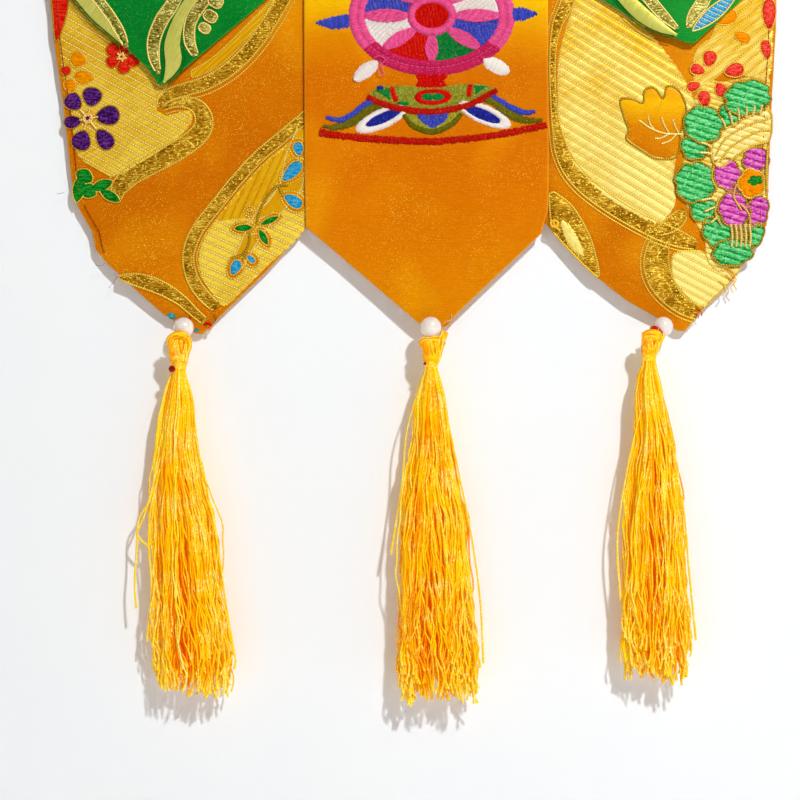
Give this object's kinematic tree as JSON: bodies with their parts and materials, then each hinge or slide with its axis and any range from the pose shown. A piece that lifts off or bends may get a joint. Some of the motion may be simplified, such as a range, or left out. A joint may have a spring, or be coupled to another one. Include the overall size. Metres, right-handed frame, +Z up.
{
  "type": "embroidered hanging banner",
  "caption": "Hanging banner of pointed brocade and satin tongues side by side under a folded heading, each tip with a pearl bead and a silk tassel.",
  "frame": {"origin": "middle of the heading's top edge, over the centre tongue's middle", "axes": "+X to the viewer's right, +Y out of the back, +Z up; the face looks towards -Y"},
  "size_m": [0.2624, 0.0147, 0.299],
  "materials": {
    "satin": "plain gold-orange satin with a soft sheen",
    "brocade": "woven brocade, orange satin ground with gold thread figures",
    "green_brocade": "woven brocade, green satin ground with gold thread figures",
    "pearl": "imitation pearl, soft lustre",
    "red_bead": "glossy red",
    "silk": "bright yellow rayon silk strands"
  },
  "bodies": {
    "root": {"heading": "satin", "tongue_left": "brocade", "tongue_middle": "satin", "tongue_right": "brocade", "overlay_left": "green_brocade", "overlay_right": "green_brocade", "pearl_left": "pearl", "pearl_middle": "pearl", "pearl_right": "pearl", "ring_right": "red_bead", "loop_left": "silk", "loop_middle": "silk", "loop_right": "silk", "neck_left": "silk", "neck_middle": "silk", "neck_right": "silk", "skirt_left": "silk", "skirt_middle": "silk", "skirt_right": "silk"}
  },
  "joints": []
}
